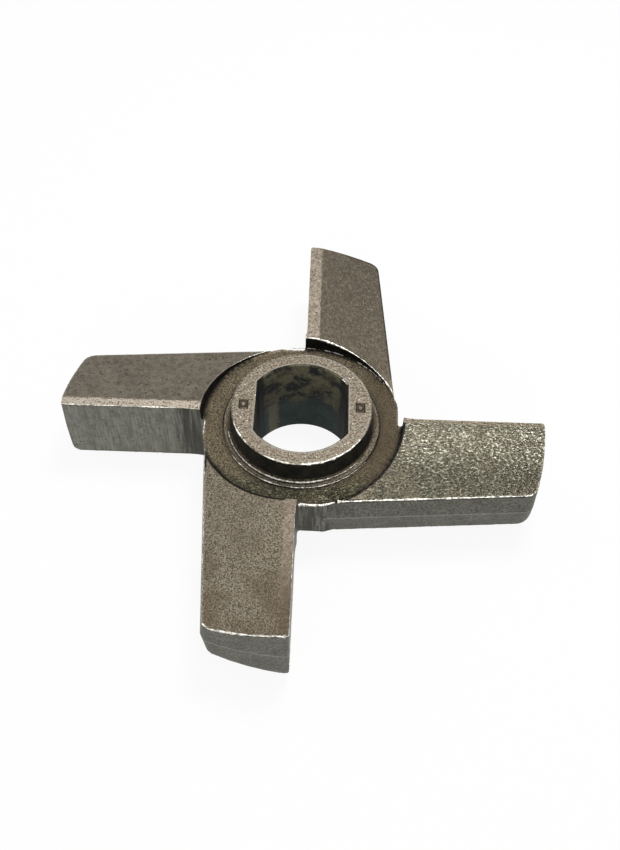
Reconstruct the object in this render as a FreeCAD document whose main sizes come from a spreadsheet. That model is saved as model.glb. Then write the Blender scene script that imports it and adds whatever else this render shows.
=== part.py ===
"""Cross knife for a meat grinder: one piece of cast steel with four wedge-shaped arms.

The knife is the same above and below the plane where its two mould halves met, so either face
can cut. Row frame, millimetres: Z is the turning axis, the origin is the centre of the lower
collar's end, and +X runs out along the leading edge of the first arm. The knife turns
anticlockwise seen from +Z, so each arm leads with its left side, seen from the hub.
"""
import FreeCAD, Part
import math
import os

import Sketcher

os.makedirs("parts", exist_ok=True)

UP = FreeCAD.Vector(0, 0, 1)
CENTRE = FreeCAD.Vector(0, 0, 0)
ARM_COUNT = 4

# Driving dimensions, in millimetres and degrees.
DIMENSIONS = [
    ("swept_diameter", 98.4, "circle swept by the widest point of the arm tips"),
    ("tip_draft", 1.5, "lean of the tip faces away from the parting plane, degrees"),
    ("hub_height", 20.4, "collar end to collar end"),
    ("collar_diameter", 28.3, "outside of a collar at its end"),
    ("collar_draft", 4.0, "lean of the collar's outer wall, degrees"),
    ("collar_foot_round", 0.8, "hollow round where a collar stands on its shoulder"),
    ("collar_edge_round", 0.35, "round on a collar's outer edge"),
    ("shoulder_diameter", 32.4, "low ring round the foot of a collar"),
    ("shoulder_height", 0.4, "how far that ring stands above the disc"),
    ("disc_diameter", 40.8, "hub disc that carries the arms"),
    ("disc_thickness", 9.5, "disc face to disc face"),
    ("recess_diameter", 41.2, "round wall where the arms rise from the disc, at disc level"),
    ("recess_draft", 1.5, "lean of that wall, degrees"),
    ("recess_foot_round", 0.7, "hollow round at the foot of that wall"),
    ("land_thickness", 15.8, "ground land to ground land, the thickest place of an arm"),
    ("land_width", 2.1, "ground land beside the leading edge"),
    ("trailing_thickness", 10.2, "arm at its trailing edge"),
    ("trailing_distance", 20.2, "axis to the line of a trailing side at the parting plane"),
    ("trailing_taper", 4.4, "angle between a trailing side and the leading edge, degrees"),
    ("side_draft", 7.0, "lean of the trailing side away from the parting plane, degrees"),
    ("leading_setback", 0.4, "leading edge behind the radial line that it runs along"),
    ("milling_stock", 1.0, "cast stock on the leading side, milled away"),
    ("wall_distance", 19.8, "axis to the milled wall at the root of each gap"),
    ("wall_width", 5.0, "how far that wall runs from the radial line"),
    ("root_radius", 20.0, "radius in which a leading face runs out into that wall"),
    ("root_length", 4.3, "length of that run-out along the arm"),
    ("gap_corner_round", 0.5, "inner corner between that run-out and the wall"),
    ("bore_diameter", 22.0, "round of the drive bore"),
    ("bore_flats", 18.2, "across the two flats of the drive bore"),
    ("bore_chamfer", 0.3, "broken edge at each mouth of the bore"),
    ("trailing_corner_round", 2.6, "corner of the tip at the trailing side"),
    ("leading_corner_round", 0.5, "corner of the tip at the leading side"),
    ("cut_margin", 3.0, "how far cutting profiles reach past the metal"),
]


def fill_sheet(document):
    """Writes the driving dimensions, one row each: name, value, meaning."""
    sheet = document.addObject("Spreadsheet::Sheet", "Dims")
    for row, (name, size, meaning) in enumerate(DIMENSIONS, start=1):
        sheet.set("A%d" % row, name)
        sheet.set("B%d" % row, "%g" % size)
        sheet.set("C%d" % row, meaning)
        sheet.setAlias("B%d" % row, name)
    document.recompute()
    return sheet


def value(expression):
    """The number that a formula of sheet values gives."""
    return float(sheet.evalExpression(expression))


def plane(body, role):
    """One of the body's own origin planes, found by its role."""
    for feature in body.Origin.OriginFeatures:
        if feature.Role == role:
            return feature
    raise RuntimeError("no plane " + role)


def new_sketch(body, name, role):
    """An empty sketch on one of the body's origin planes."""
    sketch = body.newObject("Sketcher::SketchObject", name)
    sketch.AttachmentSupport = (plane(body, role), "")
    sketch.MapMode = "FlatFace"
    return sketch


def bind(sketch, constraint, name, expression):
    """Adds a constraint and ties its value to a formula of the sheet."""
    index = sketch.addConstraint(constraint)
    sketch.renameConstraint(index, name)
    sketch.setExpression("Constraints." + name, expression)


def place_corner(sketch, line, end, name, across, upward):
    """Ties one end of a line to its two coordinates."""
    for axis, letter, formula in (("DistanceX", "x", across), ("DistanceY", "y", upward)):
        distance = Sketcher.Constraint(axis, -1, 1, line, end, value(formula))
        bind(sketch, distance, name + letter, formula)


def arc_between(first, second, centre):
    """The shorter arc from one point to the other, and which of its ends lies on the first point.

    An arc runs anticlockwise here, so it may have to start at the second point.
    """
    radius = (first - centre).Length
    angles = [math.atan2(point.y - centre.y, point.x - centre.x) for point in (first, second)]
    turn = (angles[1] - angles[0]) % (2 * math.pi)
    if turn < math.pi:
        return Part.ArcOfCircle(Part.Circle(centre, UP, radius), angles[0], angles[0] + turn), 1
    turn = 2 * math.pi - turn
    return Part.ArcOfCircle(Part.Circle(centre, UP, radius), angles[1], angles[1] + turn), 2


def draw_outline(sketch, corners, rounded=None, round_size=None):
    """A closed outline of straight sides, each corner given by two formulas.

    The corner with the number in rounded gets an arc with the radius that round_size gives.
    """
    points = [FreeCAD.Vector(value(across), value(upward), 0) for across, upward in corners]
    count = len(points)
    starts, ends = list(points), points[1:] + points[:1]
    if rounded is not None:
        point, before, after = points[rounded], points[rounded - 1], points[(rounded + 1) % count]
        radius = value(round_size)
        incoming, outgoing = (before - point).normalize(), (after - point).normalize()
        half = incoming.getAngle(outgoing) / 2
        starts[rounded] = point + outgoing * (radius / math.tan(half))
        ends[rounded - 1] = point + incoming * (radius / math.tan(half))
        centre = point + (incoming + outgoing).normalize() * (radius / math.sin(half))
    for start, end in zip(starts, ends):
        sketch.addGeometry(Part.LineSegment(start, end))
    for index, (across, upward) in enumerate(corners):
        before = (index - 1) % count
        if index != rounded:
            sketch.addConstraint(Sketcher.Constraint("Coincident", before, 2, index, 1))
            place_corner(sketch, index, 1, "corner%d" % index, across, upward)
            continue
        curve, first_end = arc_between(ends[before], starts[index], centre)
        arc = sketch.addGeometry(curve)
        point = sketch.addGeometry(Part.Point(points[index]), True)
        place_corner(sketch, point, 1, "corner%d" % index, across, upward)
        sketch.addConstraint(Sketcher.Constraint("PointOnObject", point, 1, before))
        sketch.addConstraint(Sketcher.Constraint("PointOnObject", point, 1, index))
        sketch.addConstraint(Sketcher.Constraint("Tangent", before, 2, arc, first_end))
        sketch.addConstraint(Sketcher.Constraint("Tangent", arc, 3 - first_end, index, 1))
        bind(sketch, Sketcher.Constraint("Radius", arc, radius), "round", round_size)


def revolve(body, kind, name, sketch):
    """A Revolution or Groove of the sketch, once round the turning axis."""
    feature = body.newObject("PartDesign::" + kind, name)
    feature.Profile = sketch
    feature.ReferenceAxis = (sketch, ["V_Axis"])
    feature.Angle = 360.0
    return feature


def repeat_round(body, name, features):
    """Copies the features round the turning axis, once for each arm."""
    pattern = body.newObject("PartDesign::PolarPattern", name)
    pattern.Originals = features
    axis = [item for item in body.Origin.OriginFeatures if item.Role == "Z_Axis"][0]
    pattern.Axis = (axis, [""])
    pattern.Angle = 360.0
    pattern.Occurrences = ARM_COUNT
    body.Tip = pattern
    return pattern


def cut_through(body, name, sketch):
    """A pocket through the whole height, from the parting plane both ways."""
    pocket = body.newObject("PartDesign::Pocket", name)
    pocket.Profile = sketch
    pocket.Type = "ThroughAll"
    pocket.Midplane = True
    return pocket


def edge_names(feature, wanted):
    """Names of the feature's edges that the test accepts."""
    return ["Edge%d" % number for number, edge in enumerate(feature.Shape.Edges, start=1) if wanted(edge)]


def dress(body, kind, name, wanted, size):
    """Rounds or breaks the chosen edges of what the body is so far."""
    document.recompute()
    base = body.Tip
    chosen = edge_names(base, wanted)
    if not chosen:
        raise RuntimeError("no edges for " + name)
    feature = body.newObject("PartDesign::" + kind, name)
    feature.Base = (base, chosen)
    feature.setExpression("Radius" if kind == "Fillet" else "Size", size)
    body.Tip = feature
    return feature


def section(body, name, reach):
    """Cross-section of a cast arm at a distance from the axis: flat lands, then a wedge."""
    trailing = "Dims.trailing_distance / cos(Dims.trailing_taper)"
    trailing += " - (%s) * tan(Dims.trailing_taper)" % reach
    trailing_edge = "%s - Dims.trailing_thickness / 2 * tan(Dims.side_draft)" % trailing
    leading = "Dims.milling_stock"
    land = "-Dims.leading_setback - Dims.land_width"
    top = "Dims.land_thickness / 2"
    edge = "Dims.trailing_thickness / 2"
    sketch = new_sketch(body, name, "YZ_Plane")
    sketch.setExpression("AttachmentOffset.Base.z", reach)
    draw_outline(sketch, [
        (leading, "-" + top),
        (leading, top),
        (land, top),
        ("-(%s)" % trailing_edge, edge),
        ("-(%s)" % trailing, "0 * " + edge),
        ("-(%s)" % trailing_edge, "-" + edge),
        (land, "-" + top),
    ])
    return sketch


document = FreeCAD.newDocument("CrossKnife")
sheet = fill_sheet(document)
body = document.addObject("PartDesign::Body", "Knife")
body.Label = "cross_knife"

# Hub blank: a plain cylinder, as wide as the disc and as tall as both collars.
hub_sketch = new_sketch(body, "HubProfile", "XZ_Plane")
draw_outline(hub_sketch, [
    ("0 * Dims.hub_height", "-Dims.hub_height / 2"),
    ("Dims.disc_diameter / 2", "-Dims.hub_height / 2"),
    ("Dims.disc_diameter / 2", "Dims.hub_height / 2"),
    ("0 * Dims.hub_height", "Dims.hub_height / 2"),
])
revolve(body, "Revolution", "Hub", hub_sketch)

# One cast arm, from just past the axis to past its tip, then all of them.
tip_reach = "Dims.swept_diameter / 2 + Dims.cut_margin"
root_section = section(body, "RootSection", "-Dims.cut_margin")
tip_section = section(body, "TipSection", tip_reach)
arm = body.newObject("PartDesign::AdditiveLoft", "Arm")
arm.Profile = root_section
arm.Sections = [tip_section]
arm.Ruled = True
arms = repeat_round(body, "Arms", [arm])
document.recompute()
blank_volume = arms.Shape.Volume

# Tips on the swept circle, leaning back from the parting plane both ways.
tip_radius = "Dims.swept_diameter / 2"
past_tip = "(Dims.swept_diameter / 2 + Dims.cut_margin) * 1.5"
past_top = "Dims.hub_height / 2 + Dims.cut_margin"
leaning_tip = "%s - (%s) * tan(Dims.tip_draft)" % (tip_radius, past_top)
tip_sketch = new_sketch(body, "TipProfile", "XZ_Plane")
draw_outline(tip_sketch, [
    (tip_radius, "0 * Dims.hub_height"),
    (leaning_tip, past_top),
    (past_tip, past_top),
    (past_tip, "-(%s)" % past_top),
    (leaning_tip, "-(%s)" % past_top),
])
tips = revolve(body, "Groove", "Tips", tip_sketch)
document.recompute()
tipped_volume = tips.Shape.Volume


def recess(name, side):
    """Ring-shaped recess between a collar and the arms, above or below."""
    end = "%s * (%s)" % (side, past_top)
    shoulder = "%s * (Dims.disc_thickness / 2 + Dims.shoulder_height)" % side
    disc = "%s * Dims.disc_thickness / 2" % side
    collar_end = "Dims.collar_diameter / 2 - Dims.cut_margin * tan(Dims.collar_draft)"
    collar_foot = "Dims.collar_diameter / 2 + (Dims.hub_height / 2 - Dims.disc_thickness / 2"
    collar_foot += " - Dims.shoulder_height) * tan(Dims.collar_draft)"
    rim = "Dims.recess_diameter / 2"
    rim_end = "%s + (%s - Dims.disc_thickness / 2) * tan(Dims.recess_draft)" % (rim, past_top)
    sketch = new_sketch(body, name + "Profile", "XZ_Plane")
    draw_outline(sketch, [
        (collar_end, end),
        (collar_foot, shoulder),
        ("Dims.shoulder_diameter / 2 - Dims.shoulder_height", shoulder),
        ("Dims.shoulder_diameter / 2", disc),
        (rim, disc),
        (rim_end, end),
    ], rounded=4, round_size="Dims.recess_foot_round")
    return revolve(body, "Groove", name, sketch)


recess("UpperRecess", "1")
lower_recess = recess("LowerRecess", "-1")
document.recompute()
recessed_volume = lower_recess.Shape.Volume

# Milled leading face of one arm. It runs out in a large radius to a small round in the corner,
# which turns it into the wall of the gap.
mill_sketch = new_sketch(body, "MillingOutline", "XY_Plane")
far = "Dims.swept_diameter / 2 + Dims.cut_margin"
face = "-Dims.leading_setback"
wall = "Dims.wall_distance"
radius = value("Dims.root_radius")
small_radius = value("Dims.gap_corner_round")
start = FreeCAD.Vector(value(wall) + value("Dims.root_length"), value(face), 0)
wall_end = FreeCAD.Vector(value(wall), value("Dims.wall_width"), 0)
far_wall = FreeCAD.Vector(value(far), value("Dims.wall_width"), 0)
far_face = FreeCAD.Vector(value(far), value(face), 0)
centre = start + FreeCAD.Vector(0, radius, 0)
small_across = start.x - value(wall) - small_radius
small_centre = FreeCAD.Vector(
    value(wall) + small_radius, centre.y - math.sqrt((radius - small_radius) ** 2 - small_across ** 2), 0)
meeting = centre + (small_centre - centre).normalize() * radius
corner = FreeCAD.Vector(value(wall), small_centre.y, 0)
for first, second in ((far_face, start), (corner, wall_end), (wall_end, far_wall), (far_wall, far_face)):
    mill_sketch.addGeometry(Part.LineSegment(first, second))
mill_sketch.addGeometry(arc_between(meeting, start, centre)[0])
mill_sketch.addGeometry(arc_between(corner, meeting, small_centre)[0])
for first, first_end, second, second_end in ((1, 2, 2, 1), (2, 2, 3, 1), (3, 2, 0, 1)):
    mill_sketch.addConstraint(Sketcher.Constraint("Coincident", first, first_end, second, second_end))
for first, first_end, second, second_end in ((0, 2, 4, 2), (4, 1, 5, 2), (5, 1, 1, 1)):
    mill_sketch.addConstraint(Sketcher.Constraint("Tangent", first, first_end, second, second_end))
mill_sketch.addConstraint(Sketcher.Constraint("Horizontal", 0))
mill_sketch.addConstraint(Sketcher.Constraint("Vertical", 1))
place_corner(mill_sketch, 0, 1, "far_face", far, face)
place_corner(mill_sketch, 2, 1, "wall_end", wall, "Dims.wall_width")
place_corner(mill_sketch, 3, 1, "far_wall", far, "Dims.wall_width")
run_out_start = Sketcher.Constraint("DistanceX", -1, 1, 0, 2, start.x)
bind(mill_sketch, run_out_start, "run_out_start", "%s + Dims.root_length" % wall)
bind(mill_sketch, Sketcher.Constraint("Radius", 4, radius), "run_out_radius", "Dims.root_radius")
bind(mill_sketch, Sketcher.Constraint("Radius", 5, small_radius), "corner_radius", "Dims.gap_corner_round")
milling = cut_through(body, "Milling", mill_sketch)
milled = repeat_round(body, "MilledFaces", [milling])
document.recompute()
milled_volume = milled.Shape.Volume

# Drive bore: round, with two flats square to the first arm's leading edge.
bore_sketch = new_sketch(body, "BoreOutline", "XY_Plane")
bore_radius = value("Dims.bore_diameter / 2")
half_flats = value("Dims.bore_flats / 2")
flat_angle = math.acos(half_flats / bore_radius)
half_length = bore_radius * math.sin(flat_angle)
bore_circle = Part.Circle(CENTRE, UP, bore_radius)
bore_sketch.addGeometry(Part.ArcOfCircle(bore_circle, flat_angle, math.pi - flat_angle))
bore_sketch.addGeometry(Part.LineSegment(
    FreeCAD.Vector(-half_flats, half_length, 0), FreeCAD.Vector(-half_flats, -half_length, 0)))
bore_sketch.addGeometry(Part.ArcOfCircle(bore_circle, math.pi + flat_angle, 2 * math.pi - flat_angle))
bore_sketch.addGeometry(Part.LineSegment(
    FreeCAD.Vector(half_flats, -half_length, 0), FreeCAD.Vector(half_flats, half_length, 0)))
for first, first_end, second, second_end in ((0, 2, 1, 1), (1, 2, 2, 1), (2, 2, 3, 1), (3, 2, 0, 1)):
    bore_sketch.addConstraint(Sketcher.Constraint("Coincident", first, first_end, second, second_end))
for arc in (0, 2):
    bore_sketch.addConstraint(Sketcher.Constraint("Coincident", arc, 3, -1, 1))
for line in (1, 3):
    bore_sketch.addConstraint(Sketcher.Constraint("Vertical", line))
bore_sketch.addConstraint(Sketcher.Constraint("Equal", 0, 2))
bind(bore_sketch, Sketcher.Constraint("Radius", 0, bore_radius), "bore_radius", "Dims.bore_diameter / 2")
left_flat = Sketcher.Constraint("DistanceX", 1, 1, -1, 1, half_flats)
bind(bore_sketch, left_flat, "left_flat", "Dims.bore_flats / 2")
right_flat = Sketcher.Constraint("DistanceX", -1, 1, 3, 1, half_flats)
bind(bore_sketch, right_flat, "right_flat", "Dims.bore_flats / 2")
bore = cut_through(body, "Bore", bore_sketch)
body.Tip = bore
document.recompute()
bored_volume = bore.Shape.Volume


def middle(edge):
    """The point half way along an edge."""
    return edge.valueAt((edge.FirstParameter + edge.LastParameter) / 2)


def from_axis(point):
    """Distance of a point from the turning axis."""
    return math.hypot(point.x, point.y)


def is_round(edge, radius, height):
    """True for a circle round the axis with this radius, at this height above or below."""
    if edge.Curve.TypeId != "Part::GeomCircle":
        return False
    on_axis = from_axis(edge.Curve.Center) < 0.01
    at_height = abs(abs(edge.Curve.Center.z) - height) < 0.01
    return on_axis and at_height and abs(edge.Curve.Radius - radius) < 0.01


def is_tip_corner(edge, trailing):
    """True for the upright edges of a tip on the chosen side.

    A leading edge runs along X or Y, so its corner has one coordinate near nought.
    """
    ends = [vertex.Point for vertex in edge.Vertexes]
    if len(ends) < 2 or abs(ends[0].z - ends[1].z) < value("Dims.trailing_thickness / 3"):
        return False
    point = middle(edge)
    at_tip = from_axis(point) > value("Dims.swept_diameter / 2 - Dims.leading_setback - 0.6")
    return at_tip and (min(abs(point.x), abs(point.y)) > value("Dims.land_width * 3")) == trailing


# Hollow rounds of the recesses, rounded collar edges and the broken edges of the bore.
foot_height = value("Dims.disc_thickness / 2 + Dims.shoulder_height")
foot_radius = value("Dims.collar_diameter / 2") + math.tan(math.radians(value("Dims.collar_draft"))) * (
    value("Dims.hub_height / 2") - foot_height)
dress(body, "Fillet", "CollarFoot",
      lambda edge: is_round(edge, foot_radius, foot_height), "Dims.collar_foot_round")
dress(body, "Fillet", "CollarEdge",
      lambda edge: is_round(edge, value("Dims.collar_diameter / 2"), value("Dims.hub_height / 2")),
      "Dims.collar_edge_round")
dress(body, "Chamfer", "BoreMouths",
      lambda edge: abs(abs(middle(edge).z) - value("Dims.hub_height / 2")) < 0.01
      and from_axis(middle(edge)) < bore_radius + 0.1, "Dims.bore_chamfer")

# Rounded corners of the tips.
dress(body, "Fillet", "TrailingCorners",
      lambda edge: is_tip_corner(edge, True), "Dims.trailing_corner_round")
dress(body, "Fillet", "LeadingCorners",
      lambda edge: is_tip_corner(edge, False), "Dims.leading_corner_round")

# The origin lies on the end of the lower collar.
body.setExpression("Placement.Base.z", "Dims.hub_height / 2")
document.recompute()

for item in document.Objects:
    if "Invalid" in item.State or "Error" in item.State:
        raise RuntimeError("failed: %s %s" % (item.Name, item.State))
if not blank_volume > tipped_volume > recessed_volume > milled_volume > bored_volume:
    raise RuntimeError("a cut removed nothing")
if body.Shape.isNull() or not body.Shape.isValid() or len(body.Shape.Solids) != 1:
    raise RuntimeError("cross_knife is not one valid solid")
body.Shape.exportStep("parts/cross_knife.step")
print("cross_knife: %.1f mm3, %d faces" % (body.Shape.Volume, len(body.Shape.Faces)))
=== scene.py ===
"""Cross knife of a meat grinder, dressed: cast, ground and milled steel on a pale table."""

import math

import bmesh
import bpy
import numpy as np
from mathutils import Matrix, Vector, kdtree, noise


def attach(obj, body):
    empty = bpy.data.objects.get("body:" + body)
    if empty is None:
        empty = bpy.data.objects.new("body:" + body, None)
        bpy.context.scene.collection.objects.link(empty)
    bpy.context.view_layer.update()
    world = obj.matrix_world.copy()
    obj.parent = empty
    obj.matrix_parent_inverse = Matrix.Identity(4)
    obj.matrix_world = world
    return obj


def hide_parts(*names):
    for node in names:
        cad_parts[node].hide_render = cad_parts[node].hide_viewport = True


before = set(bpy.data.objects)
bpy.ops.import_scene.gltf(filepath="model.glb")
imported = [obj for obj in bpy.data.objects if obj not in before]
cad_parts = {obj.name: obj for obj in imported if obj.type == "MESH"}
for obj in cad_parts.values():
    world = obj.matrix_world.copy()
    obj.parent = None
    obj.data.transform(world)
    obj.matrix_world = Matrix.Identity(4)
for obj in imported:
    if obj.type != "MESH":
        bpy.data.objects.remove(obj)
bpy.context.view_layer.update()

# Casting: the knife is one piece of cast steel, poured in a two-part sand mould that met half way
# up. Its skin is cut finely enough for the sand's unevenness, the plain recess on each side of the
# collar's end and the worn tip corners, and its vertices carry the distances that the finishes read.
MM = 0.001
WELD_GAP = 0.002 * MM
FLAT_TURN = math.radians(0.05)
EDGE_FOLD = 22
SHARP_TURN = math.radians(26)
PARTING_HEIGHT = 10.2 * MM
COLLAR_END = 10.1 * MM
COLLAR_FACE_LEVEL = 9.7 * MM
COLLAR_OUTSIDE = 15.6 * MM
BORE_OUTSIDE = 11.6 * MM
BORE_FLAT_OUTSIDE = 9.2 * MM
DISC_OUTSIDE = 19 * MM
WALL_OUTSIDE = 21.2 * MM
ARM_SECTOR_START = -85
MOST_HALVINGS = 16
SKIN_STEP = 1.2 * MM
CORNER_STEP = 0.6 * MM
MARK_STEP = 0.14 * MM
EDGE_STEP = 0.3 * MM
SAND_LUMP = 2.2 * MM
SAND_SWELL = 0.06 * MM
MARK_PLACES = ((-11.7 * MM, 0.3 * MM), (11.8 * MM, 0.3 * MM))
MARK_SIDES = (1.0 * MM, 1.3 * MM)
MARK_MARGIN = 0.4 * MM
MARK_DEPTH = 0.4 * MM
MARK_BEVEL = 0.25 * MM
PIP_RADIUS = 0.42 * MM
PIP_FOOT = 0.2 * MM
PIP_BEVEL = 0.3 * MM
TIP_RADIUS = 49.2 * MM
TIP_SLOPE = math.tan(math.radians(1.5))
LAND_WIDTH = 2.5 * MM
LAND_LEVEL = 7.9 * MM
TRAILING_DROP = 2.8 * MM
TRAILING_REACH = 19.63 * MM
TRAILING_TAPER = 0.07695
CORNER_WEAR = np.array((2.1, 1.2, 2.1, 0.6)) * MM
LEADING_WEAR = 0.9 * MM
LEADING_SETBACK = 0.4 * MM
SMALL_WEAR = 1 * MM


def welded_skin(source):
    """The node's loose triangles joined into one skin, flat places without inner edges."""
    skin = bmesh.new()
    skin.from_mesh(source.data)
    bmesh.ops.remove_doubles(skin, verts=skin.verts, dist=WELD_GAP)
    bmesh.ops.dissolve_limit(skin, angle_limit=FLAT_TURN, verts=skin.verts, edges=skin.edges)
    bmesh.ops.triangulate(skin, faces=skin.faces)
    return skin


def finer(corners, faces, longest):
    """Halves each edge that is longer than its limit, in all the triangles that share it."""
    for _ in range(MOST_HALVINGS):
        sides = np.sort(np.stack((faces, np.roll(faces, -1, 1)), 2).reshape(-1, 2), 1)
        pairs, index = np.unique(sides, axis=0, return_inverse=True)
        middles = corners[pairs].mean(1)
        length = np.linalg.norm(corners[pairs[:, 0]] - corners[pairs[:, 1]], axis=1)
        split = length > longest(middles)
        if not split.any():
            break
        point = np.full(len(pairs), -1)
        point[split] = len(corners) + np.arange(split.sum())
        corners = np.concatenate((corners, middles[split]))
        cut = point[index.reshape(-1, 3)]
        number = (cut >= 0).sum(1)
        turn = np.where(number == 1, (cut >= 0).argmax(1), 0)
        turn = np.where(number == 2, (cut < 0).argmax(1) + 1, turn)
        order = (turn[:, None] + np.arange(3)) % 3
        a, b, c = np.take_along_axis(faces, order, 1).T
        m, n, o = np.take_along_axis(cut, order, 1).T
        one, two, three = number == 1, number == 2, number == 3
        across = np.linalg.norm(corners[a] - corners[n], axis=1)
        short = across < np.linalg.norm(corners[m] - corners[c], axis=1)
        groups = [(number == 0, (a, b, c)), (one, (a, m, c)), (one, (m, b, c)), (two, (m, b, n)),
                  (two & short, (a, m, n)), (two & short, (a, n, c)),
                  (two & ~short, (a, m, c)), (two & ~short, (m, n, c)),
                  (three, (a, m, o)), (three, (m, b, n)), (three, (o, n, c)), (three, (m, n, o))]
        faces = np.concatenate([np.stack(part, 1)[chosen] for chosen, part in groups])
    return corners, faces


def near_mark(points):
    """Which points lie in or close to one of the two recesses in the upper collar end."""
    near = np.zeros(len(points), bool)
    for x, y in MARK_PLACES:
        near_x = np.abs(points[:, 0] - x) < MARK_SIDES[0] + MARK_MARGIN
        near_y = np.abs(points[:, 1] - y) < MARK_SIDES[1] + MARK_MARGIN
        near |= near_x & near_y & (points[:, 2] - PARTING_HEIGHT > COLLAR_END)
    return near


def arm_number(points):
    """Which arm each point belongs to: 0 points along X, 1 along Y, and so round."""
    angle = np.degrees(np.arctan2(points[:, 1], points[:, 0]))
    return np.floor((angle - ARM_SECTOR_START) / 90).astype(int) % 4


def arm_place(points):
    """Points as their arm sees them: how far along it, and how far behind its leading edge."""
    turn = arm_number(points) * math.pi / 2
    along = points[:, 0] * np.cos(turn) + points[:, 1] * np.sin(turn)
    behind = points[:, 0] * np.sin(turn) - points[:, 1] * np.cos(turn)
    return along, behind


def tip_corner(points):
    """How deep points lie behind an arm's tip face, and above its underside."""
    reach, lag = arm_place(points)
    drop = (lag - LAND_WIDTH) / (TRAILING_REACH - TRAILING_TAPER * reach - LAND_WIDTH)
    underside = LAND_LEVEL - TRAILING_DROP * np.clip(drop, 0, 1)
    level = points[:, 2] - PARTING_HEIGHT
    behind_tip = TIP_RADIUS - TIP_SLOPE * np.abs(level) - np.hypot(points[:, 0], points[:, 1])
    return behind_tip, level + underside


def skin_limit(points):
    """The longest edge that the skin may have at each point."""
    behind_tip, above = tip_corner(points)
    wear = CORNER_WEAR[arm_number(points)]
    worn = (behind_tip < wear) & (above < wear)
    return np.where(near_mark(points), MARK_STEP, np.where(worn, CORNER_STEP, SKIN_STEP))


def fold(edge):
    """How far the two faces of an edge turn, in degrees, above nought where it stands out."""
    return math.degrees(edge.calc_face_angle_signed(0.0)) if len(edge.link_faces) == 2 else 0.0


def distances(points, edges):
    """How far each point lies from the nearest of the edges."""
    tree_points = []
    for edge in edges:
        first, second = edge.verts[0].co, edge.verts[1].co
        count = max(1, math.ceil((second - first).length / EDGE_STEP))
        tree_points += [first.lerp(second, index / count) for index in range(count + 1)]
    tree = kdtree.KDTree(len(tree_points))
    for index, point in enumerate(tree_points):
        tree.insert(point, index)
    tree.balance()
    return np.array([tree.find(point)[2] for point in points])


def add_measure(mesh, name, values):
    """Keeps one number for each vertex under a name that the finishes read."""
    layer = mesh.attributes.new(name, "FLOAT", "POINT")
    layer.data.foreach_set("value", np.array(values, np.float32))


casting = welded_skin(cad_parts["cross_knife"])
outer_edges = [edge for edge in casting.edges if fold(edge) > EDGE_FOLD]
inner_edges = [edge for edge in casting.edges if fold(edge) < -EDGE_FOLD]
corners = np.array([vertex.co[:] for vertex in casting.verts])
faces = np.array([[vertex.index for vertex in face.verts] for face in casting.faces])
corners, faces = finer(corners, faces, skin_limit)
rim = distances(corners, outer_edges)
nook = distances(corners, inner_edges)
behind = arm_place(corners)[1]
flat_radius = np.hypot(corners[:, 0], corners[:, 1])

knife_mesh = bpy.data.meshes.new("knife")
knife_mesh.from_pydata(corners, [], faces.tolist())
knife_mesh.update()

# Which finish a face gets goes by its place and by how level it lies, from 0 upright to 1 level.
CAST_TOP, CAST_SIDE, MILLED, TURNED_WALL, COLLAR_FACE, BORE, BORE_FLAT = range(7)
STEEP = 0.35
PLUMB = 0.01
WALL_LEAN = 0.6
BORE_LEAN = 0.8
FLAT_FACING = 0.97
normals = np.array([polygon.normal[:] for polygon in knife_mesh.polygons])
middles = corners[faces].mean(1)
height = middles[:, 2] - PARTING_HEIGHT
radius = np.hypot(middles[:, 0], middles[:, 1])
outward = (normals[:, :2] * middles[:, :2]).sum(1) / radius
level = np.abs(normals[:, 2])
arm_wall = (level < WALL_LEAN) & (outward < -WALL_LEAN) & (radius > DISC_OUTSIDE)
drive_flat = (np.abs(normals[:, 0]) > FLAT_FACING) & (np.abs(middles[:, 0]) < BORE_FLAT_OUTSIDE)
zone = np.where(level < STEEP, CAST_SIDE, CAST_TOP)
zone[(level < PLUMB) & (radius > DISC_OUTSIDE)] = MILLED
zone[(level < STEEP) & (radius < COLLAR_OUTSIDE)] = TURNED_WALL
zone[arm_wall & (radius < WALL_OUTSIDE)] = TURNED_WALL
zone[(np.abs(height) > COLLAR_FACE_LEVEL) & (level >= STEEP)] = COLLAR_FACE
zone[(radius < BORE_OUTSIDE) & (level < BORE_LEAN) & (outward < 0)] = BORE
zone[(zone == BORE) & drive_flat] = BORE_FLAT
knife_mesh.polygons.foreach_set("material_index", zone)

# The sand's unevenness and the two recesses go into the mesh, always inwards. The machined faces
# stay as they are.
machined = np.zeros(len(corners), bool)
for machined_zone in (MILLED, TURNED_WALL, BORE, BORE_FLAT):
    machined[faces[zone == machined_zone].ravel()] = True
vertex_normals = np.array([normal.vector[:] for normal in knife_mesh.vertex_normals])
swell = np.array([noise.noise(Vector(corner) / SAND_LUMP) for corner in corners])
depth = np.where(machined, 0, SAND_SWELL * (0.5 + 0.5 * swell))
for x, y in MARK_PLACES:
    inside_x = MARK_SIDES[0] - np.abs(corners[:, 0] - x)
    inside_y = MARK_SIDES[1] - np.abs(corners[:, 1] - y)
    hollow = np.clip(np.minimum(inside_x, inside_y) / MARK_BEVEL, 0, 1)
    pip_way = np.hypot(corners[:, 0] - x, corners[:, 1] - y)
    pip = np.clip((PIP_RADIUS + PIP_FOOT - pip_way) / PIP_BEVEL, 0, 1)
    depth += MARK_DEPTH * hollow * (1 - pip) * near_mark(corners)
placed = corners - vertex_normals * depth[:, None]

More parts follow.
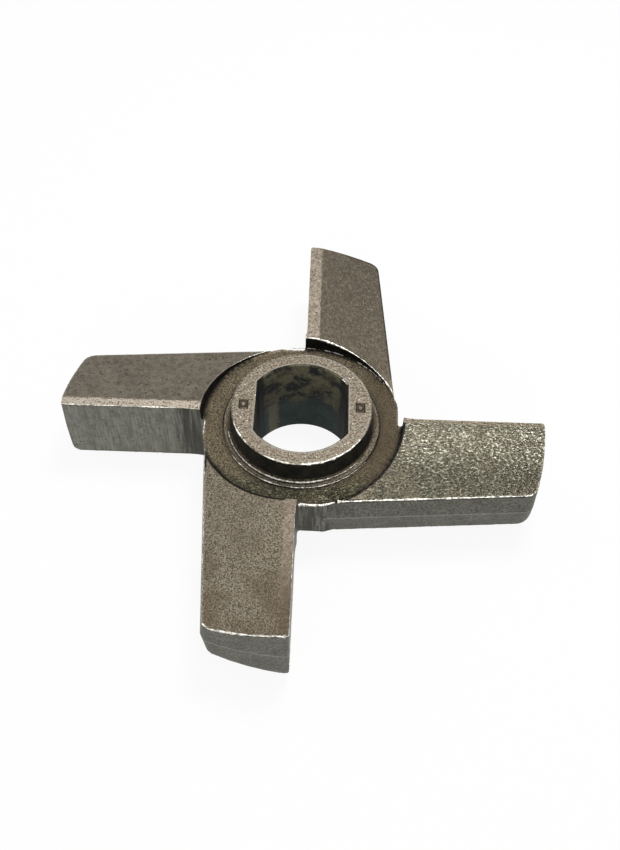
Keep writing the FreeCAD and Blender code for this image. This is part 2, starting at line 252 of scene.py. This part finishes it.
# The lower tip corners are worn round: a point in the corner moves to the round that replaces it.
# The arm that is worn least is also worn at its leading edge there, which fades in over a third of
# the round.
behind_tip, above = tip_corner(corners)
wear = CORNER_WEAR[arm_number(corners)]
behind_edge = behind - LEADING_SETBACK
inset = 1 - np.stack((behind_tip / wear, above / wear, behind_edge / LEADING_WEAR), 1)
inset = np.clip(inset, 0, 1)
fade_in = np.clip(inset[:, 1] * 3, 0, 1) * np.clip(inset[:, 0] * 3, 0, 1)
inset[:, 2] *= fade_in * (wear < SMALL_WEAR)
length = np.linalg.norm(inset, axis=1)
in_corner = (length > 1) & (inset[:, 0] > 0) & (inset[:, 1] > 0)
pull = inset * np.where(in_corner, 1 - 1 / np.maximum(length, 1), 0)[:, None]
outward_way = corners[:, :2] / flat_radius[:, None]
backward_way = np.stack((outward_way[:, 1], -outward_way[:, 0]), 1)
shift = backward_way * (pull[:, 2] * LEADING_WEAR)[:, None]
placed[:, :2] += shift - outward_way * (pull[:, 0] * wear)[:, None]
placed[:, 2] += pull[:, 1] * wear
knife_mesh.vertices.foreach_set("co", placed.ravel())
knife_mesh.shade_smooth()
knife_mesh.set_sharp_from_angle(angle=SHARP_TURN)
add_measure(knife_mesh, "behind", behind / MM)
add_measure(knife_mesh, "radius", flat_radius / MM)
add_measure(knife_mesh, "rim", rim / MM)
add_measure(knife_mesh, "nook", nook / MM)

knife = bpy.data.objects.new("knife", knife_mesh)
bpy.context.collection.objects.link(knife)
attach(knife, "root")
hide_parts("cross_knife")

# Cast skin: the tops of the arms and the disc keep the grain that the sand left, dark grey-brown
# and coarser on one arm than on the others. A strip beside each leading edge is ground flat and
# bright, with the grain's deeper pits left in it.


def colour(red, green, blue):
    """A colour as a screen shows it, from 0 to 255, as the linear one that a shader takes."""
    parts = [(part / 255 / 12.92 if part < 10.3 else ((part / 255 + 0.055) / 1.055) ** 2.4)
             for part in (red, green, blue)]
    return (*parts, 1.0)


class Reading:
    """A value that a node gives. Sums on it add Math nodes to the tree."""

    def __init__(self, tree, socket=None):
        self.tree = tree
        self.socket = socket

    def node(self, kind, settings=None, sockets=None, output=0):
        """Any node: its settings go in first, then the values or links of its sockets."""
        made = self.tree.nodes.new(kind)
        for name, value in (settings or {}).items():
            setattr(made, name, value)
        for name, value in (sockets or {}).items():
            if isinstance(value, Reading):
                self.tree.links.new(value.socket, made.inputs[name])
            else:
                made.inputs[name].default_value = value
        return Reading(self.tree, made.outputs[output] if made.outputs else None)

    def sum(self, operation, first, second):
        """One Math node, by the name of its operation."""
        return self.node("ShaderNodeMath", {"operation": operation}, {0: first, 1: second})

    def __add__(self, other):
        return self.sum("ADD", self, other)

    def __radd__(self, other):
        return self.sum("ADD", other, self)

    def __sub__(self, other):
        return self.sum("SUBTRACT", self, other)

    def __rsub__(self, other):
        return self.sum("SUBTRACT", other, self)

    def __mul__(self, other):
        return self.sum("MULTIPLY", self, other)

    def __rmul__(self, other):
        return self.sum("MULTIPLY", other, self)

    def ramp(self, low, high):
        """Nought below the low value, one above the high one, and smooth between."""
        return self.node("ShaderNodeMapRange", {"interpolation_type": "SMOOTHSTEP"},
                         {"Value": self, "From Min": low, "From Max": high})

    def fade(self, low, high):
        """One below the low value and nought above the high one."""
        return 1 - self.ramp(low, high)

    def blend(self, under, over):
        """A colour under and a colour over, by this reading."""
        return self.node("ShaderNodeMix", {"data_type": "RGBA"}, {0: self, 6: under, 7: over}, 2)


class Finish(Reading):
    """A node material. x, y and z are places in millimetres, and height is above the parting plane."""

    def __init__(self, name):
        self.material = bpy.data.materials.new(name)
        self.material.use_nodes = True
        super().__init__(self.material.node_tree)
        self.tree.nodes.clear()
        self.place = self.node("ShaderNodeTexCoord", output=3)
        axes = self.node("ShaderNodeSeparateXYZ", sockets={0: self.place}).socket.node.outputs
        self.x, self.y, self.z = (Reading(self.tree, axes[index]) * (1 / MM) for index in range(3))
        self.height = self.z - PARTING_HEIGHT / MM

    def measure(self, name):
        """One of the numbers that the mesh carries, in millimetres."""
        return self.node("ShaderNodeAttribute", {"attribute_name": name}, output=2)

    def grain(self, size, detail=2.0, roughness=0.5, stretch=(1, 1, 1)):
        """Noise from 0 to 1 whose lumps are about this many millimetres, drawn out by stretch."""
        place = self.place
        if stretch != (1, 1, 1):
            place = self.node("ShaderNodeMapping", sockets={"Vector": place, "Scale": stretch})
        return self.node("ShaderNodeTexNoise", sockets={
            "Vector": place, "Scale": 1 / (size * MM), "Detail": detail, "Roughness": roughness})

    def bump(self, height, depth, under=None):
        """A bump of so many millimetres for a height from 0 to 1."""
        sockets = {"Height": height, "Distance": depth * MM, "Strength": 1.0}
        if under:
            sockets["Normal"] = under
        return self.node("ShaderNodeBump", sockets=sockets)

    def surface(self, **sockets):
        """The Principled shader, with socket names written with low lines, and the output."""
        named = {name.replace("_", " "): value for name, value in sockets.items()}
        shader = self.node("ShaderNodeBsdfPrincipled", sockets=named)
        self.node("ShaderNodeOutputMaterial", sockets={"Surface": shader})
        return self.material


skin = Finish("cast_skin")
lead = skin.measure("behind")
rim_way = skin.measure("rim")
nook_way = skin.measure("nook")
around = skin.measure("radius")
disc = around.fade(20.62, 20.78)
right_arm = skin.x.ramp(11, 14) * skin.y.fade(2, 4) * (1 - disc)
far_arm = skin.y.ramp(11, 14) * skin.x.ramp(-4, -2) * (1 - disc)
left_arm = skin.x.fade(-14, -11) * skin.y.ramp(-4, -2) * (1 - disc)
near_arm = skin.y.fade(-14, -11) * skin.x.fade(2, 4) * (1 - disc)
disc_front = disc * skin.y.fade(-17, -10)
fine = skin.grain(0.3, 3.0, 0.6)
lumps = skin.grain(0.36, 2.0, 0.55, (0.6, 1, 1))
strokes = skin.grain(0.5, 3.0, 0.6, (1, 0.6, 1))
patches = skin.grain(6.0, 2.0, 0.5)
lumpy = right_arm + disc_front * 0.45
grain = fine * (1 - lumpy * 0.6) + lumps * (lumpy * 0.6)
contrast = 0.7 + near_arm * 0.3 + lumpy * 0.25
mottle = skin.grain(1.3, 4.0, 0.65)
specks = skin.grain(0.8, 2.0, 0.6).fade(0.32, 0.38)
sand = grain.ramp(0.37, 0.63) * contrast + (0.5 - contrast * 0.5)
tone = sand.blend(colour(62, 55, 45), colour(126, 118, 103))
tone = (left_arm * 0.6).blend(tone, colour(102, 96, 86))
browned = near_arm * skin.y.fade(-44, -26) * patches.ramp(0.35, 0.6)
tone = (browned * 0.45).blend(tone, colour(72, 60, 42))
tone = (far_arm * 0.65).blend(tone, colour(68, 61, 50))
right_tone = grain.ramp(0.42, 0.6).blend(colour(34, 36, 26), colour(84, 86, 72))
tone = (right_arm * 0.6).blend(tone, right_tone)
tone = (right_arm * (lead + patches * 5).ramp(6, 15) * 0.6).blend(tone, colour(30, 29, 18))
# Painted highlights: pale glints on the right arm's lumps, strongest near its leading edge.
glints = lumps.ramp(0.55, 0.68) * right_arm * ((lead + patches * 4).fade(8, 15) * 0.6 + 0.2)
tone = glints.blend(tone, colour(150, 151, 138))
disc_tone = fine.ramp(0.4, 0.62).blend(colour(46, 39, 25), colour(100, 89, 70))
tone = (disc * 0.85).blend(tone, disc_tone)
tone = (disc * skin.x.ramp(8, 16) * 0.6).blend(tone, colour(50, 42, 28))
front_tone = grain.ramp(0.44, 0.6).blend(colour(6, 7, 2), colour(50, 51, 33))
tone = (disc_front * 0.9).blend(tone, front_tone)
# Painted highlights: pale glints on the lumps at the front of the disc.
tone = (lumps.ramp(0.58, 0.68) * disc_front * 0.4).blend(tone, colour(140, 142, 118))
tone = (patches.ramp(0.45, 0.7) * 0.35).blend(tone, colour(74, 66, 54))
dark_mottle = mottle.ramp(0.46, 0.6) * (left_arm * 0.4 + far_arm * 0.2)
tone = dark_mottle.blend(tone, colour(66, 57, 46))
pale_mottle = mottle.fade(0.36, 0.46) * (left_arm * 0.3 + far_arm * 0.2)
tone = pale_mottle.blend(tone, colour(116, 108, 95))
tone = (strokes.ramp(0.5, 0.62) * far_arm * 0.4).blend(tone, colour(60, 53, 42))
tone = (strokes.fade(0.38, 0.48) * far_arm * 0.25).blend(tone, colour(122, 114, 100))
tone = (specks * (left_arm * 0.7 + 0.15)).blend(tone, colour(46, 41, 33))
bare_edge = rim_way.fade(0.12, 0.5) * grain.ramp(0.38, 0.6)
bare_edge = bare_edge * (1 - far_arm - right_arm * lead.fade(2, 4))
tone = (bare_edge * 0.4).blend(tone, colour(160, 152, 138))
# Darker in the inner corners, partly dirt and partly painted shade.
nook_dirt_and_shade = nook_way.fade(0.2, 1.2) * (0.35 + around.ramp(17.4, 18.2) * 0.5)
tone = nook_dirt_and_shade.blend(tone, colour(34, 29, 22))
# Painted shade: near black right in the inner corners at the foot of the arms' walls, on the disc.
tone = (nook_way.fade(0.1, 0.4) * around.ramp(19, 20) * 0.8).blend(tone, colour(14, 12, 7))
arc = around.ramp(20.58, 20.64) * around.fade(21.9, 22.5)
# Painted shade: a near-black line along the arcs at the front, where the arms' walls face away.
arc_edge_shade = rim_way.fade(0.3, 0.48) * arc * skin.y.fade(-2, 2)
tone = arc_edge_shade.blend(tone, colour(12, 10, 6))
# The far arm is darker along its trailing edge.
trailing_edge_dark = far_arm * lead.ramp(8, 9) * rim_way.fade(0.2, 0.45)
tone = (trailing_edge_dark * 0.85).blend(tone, colour(30, 26, 20))
ragged = skin.grain(1.6, 3.0, 0.6) * 1.1 + fine * 0.7
land_edge = lead + ragged - far_arm * 0.7 + right_arm * 1.1
land = land_edge.fade(3.0, 3.5) * (lead + ragged * 0.3).ramp(0.2, 0.4) * (1 - disc)
pits = skin.grain(0.5, 2.0, 0.6).fade(0.36, 0.46 + near_arm * 0.05)
scuffs = skin.grain(0.8, 3.0, 0.6)
land_tone = scuffs.ramp(0.3, 0.7).blend(colour(114, 104, 90), colour(150, 140, 127))
land_tone = (right_arm * 0.9).blend(land_tone, colour(86, 79, 66))
land_tone = (near_arm * (0.45 + skin.y.fade(-46, -28) * 0.5)).blend(land_tone, colour(62, 53, 40))
land_tone = (left_arm * 0.55).blend(land_tone, colour(168, 159, 146))
land_tone = (pits * (1 - right_arm * 0.6)).blend(land_tone, colour(84, 74, 60))
tone = land.blend(tone, land_tone)
rough = 0.38 + fine * 0.14 - lumpy * 0.16
relief = skin.bump(fine * (1 - lumpy * 0.75), 0.13)
relief = skin.bump(lumps * lumpy, 0.21, relief)
cast_skin = skin.surface(Base_Color=tone, Roughness=rough, Metallic=0.85, Normal=relief)

# Cast sides: the trailing faces and the tips of the arms, left as they came out of the sand. They
# are grey and smoother than the tops, with the line half way up where the mould's two parts met.
side = Finish("cast_side")
line = side.height + side.grain(1.4) * 0.4 - 0.2
seam = line.ramp(-0.22, -0.02) * line.fade(0.02, 0.22)
flecks = side.grain(0.4, 3.0, 0.6)
side_tone = flecks.ramp(0.35, 0.65).blend(colour(74, 74, 67), colour(114, 113, 103))
side_tone = (side.grain(4, 3.0, 0.6).ramp(0.42, 0.65) * 0.3).blend(side_tone, colour(64, 62, 54))
side_tone = (seam * 0.65).blend(side_tone, colour(146, 144, 134))
shade = side.measure("rim").fade(0.4, 0.7) * side.height.ramp(1, 2)
side_tone = (shade * 0.8).blend(side_tone, colour(40, 38, 33))
cast_side = side.surface(Base_Color=side_tone, Roughness=0.5 + flecks * 0.14, Metallic=0.7,
                         Normal=side.bump(flecks, 0.14, side.bump(seam, 0.12)))

# Milled faces: each leading face and the gap's wall that the cutter ran out into, bare steel with
# the cutter's streaks from top to bottom.
mill = Finish("milled_face")
streaks = mill.grain(0.45, 3.0, 0.65, (1, 1, 0.06))
bands = mill.grain(1.6, 2.0, 0.5, (1, 1, 0.05))
clouds = mill.grain(1.2, 4.0, 0.7, (1, 1, 0.6))
nicks = mill.grain(0.7, 2.0, 0.6).fade(0.31, 0.37)
gap_wall = mill.measure("radius").fade(24, 27)
mill_tone = streaks.ramp(0.3, 0.7).blend(colour(102, 102, 94), colour(132, 131, 121))
gap_tone = streaks.ramp(0.42, 0.58).blend(colour(56, 57, 48), colour(112, 111, 102))
mill_tone = (gap_wall * 0.8).blend(mill_tone, gap_tone)
mill_tone = (clouds.ramp(0.45, 0.6) * 0.4).blend(mill_tone, colour(80, 78, 68))
mill_tone = (clouds.fade(0.3, 0.42) * 0.4).blend(mill_tone, colour(130, 129, 120))
mill_tone = (nicks * 0.7).blend(mill_tone, colour(48, 46, 40))
mill_tone = (bands.ramp(0.46, 0.62) * (0.15 + gap_wall * 0.6)).blend(mill_tone, colour(46, 45, 40))
mill_tone = (mill.measure("rim").fade(0.1, 0.45) * 0.6).blend(mill_tone, colour(56, 53, 46))
milled_face = mill.surface(Base_Color=mill_tone, Roughness=0.44 + streaks * 0.16, Metallic=0.75,
                           Normal=mill.bump(streaks, 0.035, mill.bump(clouds, 0.05)))

# Turned walls: the collar's outside and the round walls where the arms rise, cut on a lathe in
# fine rings before the knife was hardened. Their near-black colour is painted shade and dark reflection.
turned = Finish("turned_wall")
rings = turned.grain(0.35, 2.0, 0.6, (0.1, 0.1, 1))
wall_mottle = turned.grain(1.5, 3.0, 0.6)
# Painted near black: the shade and dark reflection that the turned walls show.
wall_tone = wall_mottle.ramp(0.35, 0.7).blend(colour(14, 14, 10), colour(38, 36, 28))
turned_wall = turned.surface(Base_Color=wall_tone, Roughness=0.55 + rings * 0.1, Metallic=0.4,
                             Normal=turned.bump(rings, 0.04), Specular_IOR_Level=0.25)

# Collar ends: the two rings that bear on the parts beside the knife, faced off flat. They are matt
# with a fine pale grain, and the recesses in the upper one are painted darker as shade.
collar = Finish("collar_end")
salt = collar.grain(0.4, 3.0, 0.7)
collar_tone = salt.ramp(0.34, 0.66).blend(colour(66, 58, 47), colour(146, 136, 121))
crumbs = collar.grain(0.7, 1.0, 0.5).ramp(0.7, 0.74)
collar_tone = crumbs.blend(collar_tone, colour(198, 192, 180))
smudges = collar.grain(3, 3.0, 0.6).ramp(0.5, 0.7)
collar_tone = (smudges * 0.3).blend(collar_tone, colour(88, 77, 62))
collar_tone = (collar.measure("rim").fade(0.1, 0.5) * 0.4).blend(collar_tone, colour(150, 145, 136))
# Painted shade in the recesses of the upper collar end.
sunk = collar.height.fade(9.85, 10.08)
collar_tone = (sunk * 0.8).blend(collar_tone, colour(40, 34, 26))
collar_end = collar.surface(Base_Color=collar_tone, Roughness=0.44 + salt * 0.15, Metallic=0.85,
                            Normal=collar.bump(salt, 0.16))

# Bore: two round sides and two flats that the drive shaft turns. The round sides are mottled brown
# above and dark blue below, with a pale patch that the shaft has rubbed, and the flats nearly black.
bore = Finish("bore_wall")
stain = bore.grain(3.2, 3.0, 0.6)
upper = (bore.height + stain * 8).ramp(1.8, 4.2)
soot = bore.grain(0.5, 3.0, 0.6)
bore_tone = stain.ramp(0.35, 0.62).blend(colour(45, 58, 56), colour(68, 81, 77))
brown = (stain * 0.8 + soot * 0.2).ramp(0.43, 0.57).blend(colour(7, 10, 11), colour(108, 101, 78))
bore_tone = (upper * 0.85).blend(bore_tone, brown)
bore_tone = (soot.ramp(0.52, 0.66) * upper * 0.4).blend(bore_tone, colour(10, 12, 12))
bore_tone = (soot.fade(0.34, 0.44) * upper * 0.4).blend(bore_tone, colour(150, 145, 120))
rub_place = bore.x + soot * 2
rubbed = rub_place.ramp(-6.6, -6.0) * rub_place.fade(-4.8, -4.0) * bore.height.fade(-1.5, 0)
bore_tone = (rubbed * 0.8).blend(bore_tone, colour(136, 130, 108))
beside_flats = bore.x.ramp(7.4, 8.2) + bore.x.fade(-8.4, -7.8)
bore_tone = (beside_flats * 0.85).blend(bore_tone, colour(6, 8, 9))
bore_wall = bore.surface(Base_Color=bore_tone, Roughness=0.5 + stain * 0.2, Metallic=0.15,
                         Normal=bore.bump(bore.grain(0.6, 2.0, 0.5), 0.06), Specular_IOR_Level=0.15)

drive = Finish("bore_flat")
rub = drive.grain(1.2, 3.0, 0.65, (1, 1, 0.3))
flat_tone = rub.ramp(0.46, 0.64).blend(colour(5, 7, 7), colour(50, 54, 50))
bore_flat = drive.surface(Base_Color=flat_tone, Roughness=0.7 + rub * 0.2, Metallic=0.1,
                          Normal=drive.bump(rub, 0.08), Specular_IOR_Level=0.1)

for finish in (cast_skin, cast_side, milled_face, turned_wall, collar_end, bore_wall, bore_flat):
    knife_mesh.materials.append(finish)

# Burrs: ragged threads of bright steel that the cutter and the wear of use left along the edges of
# the arms, the disc, the collar and the bore. They are part of the knife, sit half sunk in its edges
# and come in four sizes, which one tree of geometry nodes grows along bare edges.
BURR_SPACING = 0.35 * MM
BURR_WAVER = 0.16 * MM
BURR_GRAIN = 0.9 * MM
BURR_JOIN = 0.01 * MM
BURR_REACH = 49.15 * MM
HOOP_STEP = 3


def hoop(radius, level, first, last):
    """Short lines round the axis: radius and level in millimetres, first and last in degrees."""
    turns = [math.radians(angle) for angle in range(first, last + 1, HOOP_STEP)]
    top = PARTING_HEIGHT + level * MM
    points = [(math.cos(turn) * radius * MM, math.sin(turn) * radius * MM, top) for turn in turns]
    return list(zip(points[:-1], points[1:]))


def burr_lines(chosen):
    """A mesh of bare edges, joined where they meet, for the burr tree to follow."""
    mesh = bpy.data.meshes.new("burr_lines")
    points = [point for line in chosen for point in line]
    mesh.from_pydata(points, [(index, index + 1) for index in range(0, len(points), 2)], [])
    joined = bmesh.new()
    joined.from_mesh(mesh)
    bmesh.ops.remove_doubles(joined, verts=joined.verts, dist=BURR_JOIN)
    joined.to_mesh(mesh)
    joined.free()
    return mesh


def burr_tree():
    """Edges in, ragged threads along them out, thick and thin by noise and broken where it is low."""
    tree = bpy.data.node_groups.new("burr", "GeometryNodeTree")
    tree.interface.new_socket("Edges", in_out="INPUT", socket_type="NodeSocketGeometry")
    for name in ("Thickness", "Spacing", "Waver", "Break", "Grain"):
        tree.interface.new_socket(name, in_out="INPUT", socket_type="NodeSocketFloat")
    tree.interface.new_socket("Finish", in_out="INPUT", socket_type="NodeSocketMaterial")
    tree.interface.new_socket("Burrs", in_out="OUTPUT", socket_type="NodeSocketGeometry")
    start = Reading(tree)
    given = start.node("NodeGroupInput").socket.node.outputs
    readings = [Reading(tree, given[index]) for index in range(7)]
    edges, thickness, spacing, waver, gap, grain, finish = readings
    place = start.node("GeometryNodeInputPosition")
    line = start.node("GeometryNodeMeshToCurve", sockets={"Mesh": edges})
    line = start.node("GeometryNodeResampleCurve", {"mode": "LENGTH"},
                      {"Curve": line, "Length": spacing})
    sway = start.node("ShaderNodeTexNoise",
                      sockets={"Vector": place, "Scale": grain, "Detail": 2.0}, output=1)
    sway = start.node("ShaderNodeVectorMath", {"operation": "SUBTRACT"}, {0: sway, 1: (0.5, 0.5, 0.5)})
    sway = start.node("ShaderNodeVectorMath", {"operation": "SCALE"}, {0: sway, "Scale": waver})
    line = start.node("GeometryNodeSetPosition", sockets={"Geometry": line, "Offset": sway})
    swell = start.node("ShaderNodeTexNoise", {"noise_dimensions": "4D"},
                       {"Vector": place, "W": 3.7, "Scale": grain, "Detail": 3.0})
    surge = start.node("ShaderNodeTexNoise", {"noise_dimensions": "4D"},
                       {"Vector": place, "W": 9.1, "Scale": grain * 0.15, "Detail": 1.0})
    width = start.sum("MAXIMUM", swell - gap, 0.02) * thickness * (surge.ramp(0.3, 0.7) * 2.4 + 0.8)
    ring = start.node("GeometryNodeCurvePrimitiveCircle", sockets={"Resolution": 6, "Radius": 1.0})
    thread = start.node("GeometryNodeCurveToMesh", sockets={
        "Curve": line, "Profile Curve": ring, "Scale": width, "Fill Caps": True})
    thread = start.node("GeometryNodeRealizeInstances", sockets={"Geometry": thread})
    thread = start.node("GeometryNodeSetMaterial", sockets={"Geometry": thread, "Material": finish})
    start.node("NodeGroupOutput", sockets={"Burrs": thread})
    return tree


def grown(name, mesh, tree, values):
    """A mesh run through a tree, kept as one plain mesh inside the knife's round and height."""
    piece = bpy.data.objects.new(name, mesh)
    bpy.context.collection.objects.link(piece)
    modifier = piece.modifiers.new(name, "NODES")
    modifier.node_group = tree
    inputs = [item for item in tree.interface.items_tree if item.in_out == "INPUT"]
    identifiers = {item.name: item.identifier for item in inputs}
    for title, value in values.items():
        modifier[identifiers[title]] = value
    depsgraph = bpy.context.evaluated_depsgraph_get()
    finished = bpy.data.meshes.new_from_object(piece.evaluated_get(depsgraph))
    piece.modifiers.clear()
    piece.data = finished
    finished.shade_smooth()
    points = np.array([vertex.co[:] for vertex in finished.vertices])
    points[:, :2] *= np.minimum(1, BURR_REACH / np.hypot(points[:, 0], points[:, 1]))[:, None]
    points[:, 2] = np.clip(points[:, 2], 0, 2 * PARTING_HEIGHT)
    finished.vertices.foreach_set("co", points.ravel())
    return piece


burr = Finish("burr_metal")
shine = burr.grain(0.6, 2.0, 0.6)
burr_tone = shine.ramp(0.35, 0.62).blend(colour(142, 138, 124), colour(240, 237, 230))
burr_metal = burr.surface(Base_Color=burr_tone, Roughness=0.3 + shine * 0.25, Metallic=0.85,
                          Normal=burr.bump(shine, 0.12))

# Each size has its thickness in millimetres and the noise under which it breaks. A place gives the
# size on each arm in turn. A level says how flat a face lies, from 0 upright to 1 level, and a limit
# is in millimetres: out from the axis, up from the parting plane or behind a leading edge.
BURR_SIZES = {"heavy": (0.37, 0.19), "rim": (0.24, 0.14), "middle": (0.16, 0.27), "faint": (0.11, 0.4)}
BURR_PLACES = {"arc": ("", "heavy", "middle", ""), "trailing": ("heavy", "", "", "faint"),
               "tip": ("", "", "faint", "heavy"), "leading": ("", "", "middle", "faint")}
SIDE_LEVEL = 0.6
DRAFT_LEVEL = 0.05
TOP_LEVEL = 0.9
RIGHT_TOP_LEVEL = 0.7
COLLAR_LIMIT = 15
SEAM_LIMIT = 3
LOWER_LIMIT = 40
SHOULDER_LIMIT = 17.5
DISC_LIMIT = 5.0
ARC_LIMIT = 21.6
LEADING_LIMIT = 1.0
TIP_LIMIT = 48.4
SHOULDER_FRONT = -11 * MM
ARC_LEFT_END = -15.5 * MM
RADIAL_SHARE = 0.7


def burr_size(edge):
    """The size of the burr along an outward edge of the casting, or no text where it has none."""
    slopes = sorted(abs(face.normal.z) for face in edge.link_faces)
    middle = (edge.verts[0].co + edge.verts[1].co) / 2
    up = abs(middle.z - PARTING_HEIGHT) / MM
    out = math.hypot(middle.x, middle.y) / MM
    least_top = TOP_LEVEL if slopes[0] > DRAFT_LEVEL or middle.x < 0 else RIGHT_TOP_LEVEL
    if slopes[0] > SIDE_LEVEL or slopes[1] < least_top or out < COLLAR_LIMIT or up < SEAM_LIMIT:
        return ""
    if middle.z < PARTING_HEIGHT:
        return "faint" if out < LOWER_LIMIT else ""
    if out < SHOULDER_LIMIT:
        return "middle" if middle.y < SHOULDER_FRONT else "faint"
    point = np.array([middle[:]])
    arm = arm_number(point)[0]
    if up < DISC_LIMIT:
        way = (edge.verts[0].co - edge.verts[1].co).normalized()
        if abs(way.x * middle.x + way.y * middle.y) / MM / out > RADIAL_SHARE:
            return ""
        return "rim" if middle.y < 0 else "middle"
    if out < ARC_LIMIT:
        return BURR_PLACES["arc"][arm] if middle.x > ARC_LEFT_END else ""
    if arm_place(point)[1][0] / MM < LEADING_LIMIT:
        return BURR_PLACES["leading"][arm]
    return BURR_PLACES["tip" if out > TIP_LIMIT else "trailing"][arm]


burr_edges = {size: [] for size in BURR_SIZES}
for edge in outer_edges:
    size = burr_size(edge)
    if size:
        burr_edges[size].append([vertex.co[:] for vertex in edge.verts])

# More burrs follow rounds that no sharp edge marks: size, radius, level, first and last angle.
HOOPS = {"collar_rim": ("heavy", 14.0, 10.0, 198, 327), "bore_corner": ("rim", 11.05, 10.1, 34, 43),
         "shoulder_front": ("rim", 15.0, 5.3, 219, 318), "shoulder_left": ("middle", 15.0, 5.3, 192, 219),
         "shoulder_foot": ("middle", 16.1, 5.05, 213, 324), "wall_foot": ("middle", 20.4, 4.85, 33, 99)}
for size, *place in HOOPS.values():
    burr_edges[size] += hoop(*place)
burrs = burr_tree()
for size, (thickness, broken) in BURR_SIZES.items():
    thread = grown(f"{size}_burrs", burr_lines(burr_edges[size]), burrs, {
        "Thickness": thickness * MM, "Spacing": BURR_SPACING, "Waver": BURR_WAVER, "Break": broken,
        "Grain": 1 / BURR_GRAIN, "Finish": burr_metal})
    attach(thread, "root")

# Studio: a white table that the camera sees as bare paper, under a large overhead lamp, with a
# soft lamp in front and a weak one on the left, and the camera where the photographer stood.
CAMERA_PLACE = Vector((3.30, -125.28, 178.42)) * MM
CAMERA_AZIMUTH = math.radians(0.71)
CAMERA_ELEVATION = math.radians(52.62)
CAMERA_ROLL = math.radians(-1.41)
CAMERA_LENS = 42.62
TABLE_SIDE = 8
WHITE = (1, 1, 1, 1)


def soft_lamp(name, place, size, power):
    """A square area lamp at a place, turned towards the knife."""
    lamp = bpy.data.lights.new(name, "AREA")
    lamp.size = size
    lamp.energy = power
    holder = bpy.data.objects.new(name, lamp)
    holder.location = place
    holder.rotation_euler = (-Vector(place)).to_track_quat("-Z", "Y").to_euler()
    bpy.context.collection.objects.link(holder)


def seen(tree):
    """One where the camera, a mirror or glass looks, and nought where the light itself goes."""
    sight = Reading(tree).node("ShaderNodeLightPath")
    outputs = sight.socket.node.outputs
    camera, mirror, glass = (Reading(tree, outputs[f"Is {kind} Ray"])
                             for kind in ("Camera", "Glossy", "Transmission"))
    return (camera + mirror + glass).ramp(0.4, 0.6)


soft_lamp("overhead_lamp", (0.07, 0.10, 0.42), 0.14, 1.4)
soft_lamp("front_lamp", (-0.06, -0.50, 0.22), 0.30, 0.8)
soft_lamp("left_lamp", (-0.50, 0.15, 0.25), 0.30, 0.35)

camera_data = bpy.data.cameras.new("camera")
camera_data.sensor_width = 36
camera_data.lens = CAMERA_LENS
camera_data.clip_start = 0.01
camera = bpy.data.objects.new("camera", camera_data)
bpy.context.collection.objects.link(camera)
facing = Matrix.Rotation(CAMERA_AZIMUTH, 4, "Z")
facing = facing @ Matrix.Rotation(math.radians(90) - CAMERA_ELEVATION, 4, "X")
facing = facing @ Matrix.Rotation(-CAMERA_ROLL, 4, "Z")
camera.matrix_world = Matrix.Translation(CAMERA_PLACE) @ facing
bpy.context.scene.camera = camera

world = bpy.data.worlds.new("studio")
world.use_nodes = True
world.node_tree.nodes.clear()
sky = Reading(world.node_tree)
strength = seen(world.node_tree) * 0.6 + 0.4
dim = sky.node("ShaderNodeBackground", sockets={"Color": WHITE, "Strength": strength})
sky.node("ShaderNodeOutputWorld", sockets={"Surface": dim})
bpy.context.scene.world = world

bpy.ops.mesh.primitive_plane_add(size=TABLE_SIDE)
floor = bpy.context.object
floor.name = "table_top"
board = bpy.data.materials.new("table_white")
board.use_nodes = True
board.node_tree.nodes.clear()
plain = Reading(board.node_tree)
paint = plain.node("ShaderNodeBsdfDiffuse", sockets={"Color": (0.8, 0.8, 0.8, 1)})
glow = plain.node("ShaderNodeEmission", sockets={"Color": WHITE, "Strength": 1.0})
share = seen(board.node_tree) * 0.92
board_mix = plain.node("ShaderNodeMixShader", sockets={0: share, 1: paint, 2: glow})
plain.node("ShaderNodeOutputMaterial", sockets={"Surface": board_mix})
floor.data.materials.append(board)

bpy.context.scene.view_settings.view_transform = "Standard"
